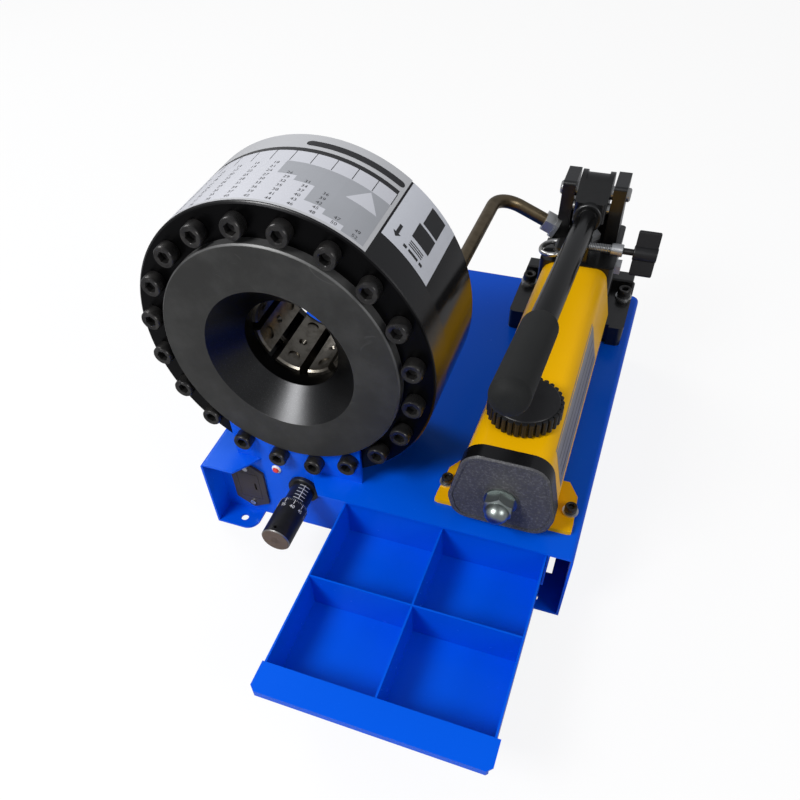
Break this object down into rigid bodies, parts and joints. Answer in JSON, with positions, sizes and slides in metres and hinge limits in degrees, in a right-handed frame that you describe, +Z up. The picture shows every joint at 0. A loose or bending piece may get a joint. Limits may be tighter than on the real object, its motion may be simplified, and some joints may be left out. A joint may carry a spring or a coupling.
{
  "type": "hose crimping machine",
  "caption": "Bench hose crimper: ring hydraulic head with sliding master dies, lever hand pump, micrometer stop and a divided drawer in a folded blue base.",
  "frame": {"origin": "centre of the four bench bolt holes, on the base's underside", "axes": "+X to the pump side, +Y to the back, +Z up"},
  "size_m": [0.3668, 0.5416, 0.3213],
  "materials": {
    "blue_paint": "gloss",
    "black_oxide": "satin",
    "screw_black": "satin",
    "bright_steel": "machined",
    "zinc": "zinc plated",
    "passivated_steel": "yellow-brown plated",
    "yellow_paint": "gloss",
    "black_cast": "black paint",
    "black_tube": "gloss black",
    "grip_foam": "foam",
    "seal_rubber": "matte",
    "black_plastic": "moulded",
    "black_anodised": "black anodised",
    "bezel_white": "gloss",
    "lamp_red": "clear red"
  },
  "bodies": {
    "base": {"base_cover": "blue_paint", "front_panel": "blue_paint", "drawer_rails": "blue_paint", "battery_housing": "black_plastic", "battery_screws": "zinc", "lamp_bezel": "bezel_white", "lamp_lens": "lamp_red", "micrometer_sleeve": "black_anodised", "micrometer_nut": "black_anodised", "front_cover": "black_oxide", "cylinder_body": "black_oxide", "guide_sleeve": "black_oxide", "sleeve_bolts": "screw_black", "ring_bolts": "screw_black", "bracket_bolts": "screw_black", "reservoir": "yellow_paint", "end_cap": "black_plastic", "tie_rod": "bright_steel", "acorn_nut": "zinc", "front_foot": "yellow_paint", "mounting_screws": "screw_black", "mounting_washers": "zinc", "weld_nuts": "zinc", "pump_block": "black_cast", "relief_plug": "zinc", "plunger_gland": "zinc", "pivot_pin": "bright_steel", "pressure_pipe": "passivated_steel", "pipe_fittings": "zinc", "pipe_nuts": "zinc"},
    "piston": {"piston": "bright_steel", "piston_seals": "seal_rubber", "striker_pin": "bright_steel"},
    "drawer": {"drawer_tray": "blue_paint", "drawer_lip": "blue_paint", "cross_divider": "blue_paint", "long_dividers": "blue_paint"},
    "switch_carriage": {"limit_switch": "black_plastic"},
    "thimble": {"micrometer_thimble": "black_anodised", "micrometer_spindle": "bright_steel"},
    "lever": {"handle_yoke": "black_cast", "lever_tube": "black_tube", "lever_grip": "grip_foam", "link_pin": "bright_steel"},
    "plunger": {"pump_plunger": "bright_steel"},
    "release_valve": {"valve_stem": "bright_steel", "valve_knob": "black_plastic"},
    "filler_cap": {"filler_cap": "black_plastic"},
    "lock_bail": {"lock_bail": "bright_steel"},
    "battery_tray": {"battery_tray": "black_plastic", "battery": "black_plastic"},
    "die_1": {"master_die_1": "bright_steel"},
    "die_2": {"master_die_2": "bright_steel"},
    "die_3": {"master_die_3": "bright_steel"},
    "die_4": {"master_die_4": "bright_steel"},
    "die_5": {"master_die_5": "bright_steel"},
    "die_6": {"master_die_6": "bright_steel"},
    "die_7": {"master_die_7": "bright_steel"},
    "die_8": {"master_die_8": "bright_steel"}
  },
  "joints": [
    {"name": "drawer_slide", "type": "slide", "parent": "base", "child": "drawer", "axis": [0, 1, 0], "range_m": [0, 0.155]},
    {"name": "piston_slide", "type": "slide", "parent": "base", "child": "piston", "axis": [0, -1, 0], "range_m": [0, 0.02], "stiffness_N_per_m": 3000},
    {"name": "micrometer_feed", "type": "slide", "parent": "base", "child": "switch_carriage", "axis": [0, 1, 0], "range_m": [-0.008, 0.012]},
    {"name": "thimble_turn", "type": "hinge", "parent": "switch_carriage", "child": "thimble", "pos_m": [-0.0768, -0.1774, 0.0547], "axis": [0, 1, 0], "range_deg": [-2880, 4320]},
    {"name": "lever_hinge", "type": "hinge", "parent": "base", "child": "lever", "pos_m": [0.102, 0.1535, 0.1995], "axis": [-1, 0, 0], "range_deg": [0, 60]},
    {"name": "plunger_slide", "type": "slide", "parent": "base", "child": "plunger", "axis": [0, 0, 1], "range_m": [0, 0.0166]},
    {"name": "release_valve_turn", "type": "hinge", "parent": "base", "child": "release_valve", "pos_m": [0.132, 0.108, 0.171], "axis": [1, 0, 0], "range_deg": [0, 540]},
    {"name": "filler_cap_turn", "type": "hinge", "parent": "base", "child": "filler_cap", "pos_m": [0.102, -0.115, 0.161], "axis": [0, 0, 1], "range_deg": [0, 720]},
    {"name": "bail_hinge", "type": "hinge", "parent": "base", "child": "lock_bail", "pos_m": [0.083, 0.108, 0.165], "axis": [0, 1, 0], "range_deg": [0, 100]},
    {"name": "battery_tray_slide", "type": "slide", "parent": "base", "child": "battery_tray", "axis": [0, -1, 0], "range_m": [0, 0.045]},
    {"name": "die_slide_1", "type": "slide", "parent": "base", "child": "die_1", "axis": [-0.9239, 0, -0.3827], "range_m": [0, 0.00729]},
    {"name": "die_slide_2", "type": "slide", "parent": "base", "child": "die_2", "axis": [-0.3827, 0, -0.9239], "range_m": [0, 0.00729]},
    {"name": "die_slide_3", "type": "slide", "parent": "base", "child": "die_3", "axis": [0.3827, 0, -0.9239], "range_m": [0, 0.00729]},
    {"name": "die_slide_4", "type": "slide", "parent": "base", "child": "die_4", "axis": [0.9239, 0, -0.3827], "range_m": [0, 0.00729]},
    {"name": "die_slide_5", "type": "slide", "parent": "base", "child": "die_5", "axis": [0.9239, 0, 0.3827], "range_m": [0, 0.00729]},
    {"name": "die_slide_6", "type": "slide", "parent": "base", "child": "die_6", "axis": [0.3827, 0, 0.9239], "range_m": [0, 0.00729]},
    {"name": "die_slide_7", "type": "slide", "parent": "base", "child": "die_7", "axis": [-0.3827, 0, 0.9239], "range_m": [0, 0.00729]},
    {"name": "die_slide_8", "type": "slide", "parent": "base", "child": "die_8", "axis": [-0.9239, 0, 0.3827], "range_m": [0, 0.00729]}
  ],
  "couplings": [
    {"joint": "plunger_slide", "follows": "lever_hinge", "m_per_rad": 0.01576},
    {"joint": "micrometer_feed", "follows": "thimble_turn", "m_per_rad": 0.00015915},
    {"joint": "die_slide_1", "follows": "piston_slide", "ratio": 0.36397},
    {"joint": "die_slide_2", "follows": "piston_slide", "ratio": 0.36397},
    {"joint": "die_slide_3", "follows": "piston_slide", "ratio": 0.36397},
    {"joint": "die_slide_4", "follows": "piston_slide", "ratio": 0.36397},
    {"joint": "die_slide_5", "follows": "piston_slide", "ratio": 0.36397},
    {"joint": "die_slide_6", "follows": "piston_slide", "ratio": 0.36397},
    {"joint": "die_slide_7", "follows": "piston_slide", "ratio": 0.36397},
    {"joint": "die_slide_8", "follows": "piston_slide", "ratio": 0.36397}
  ]
}
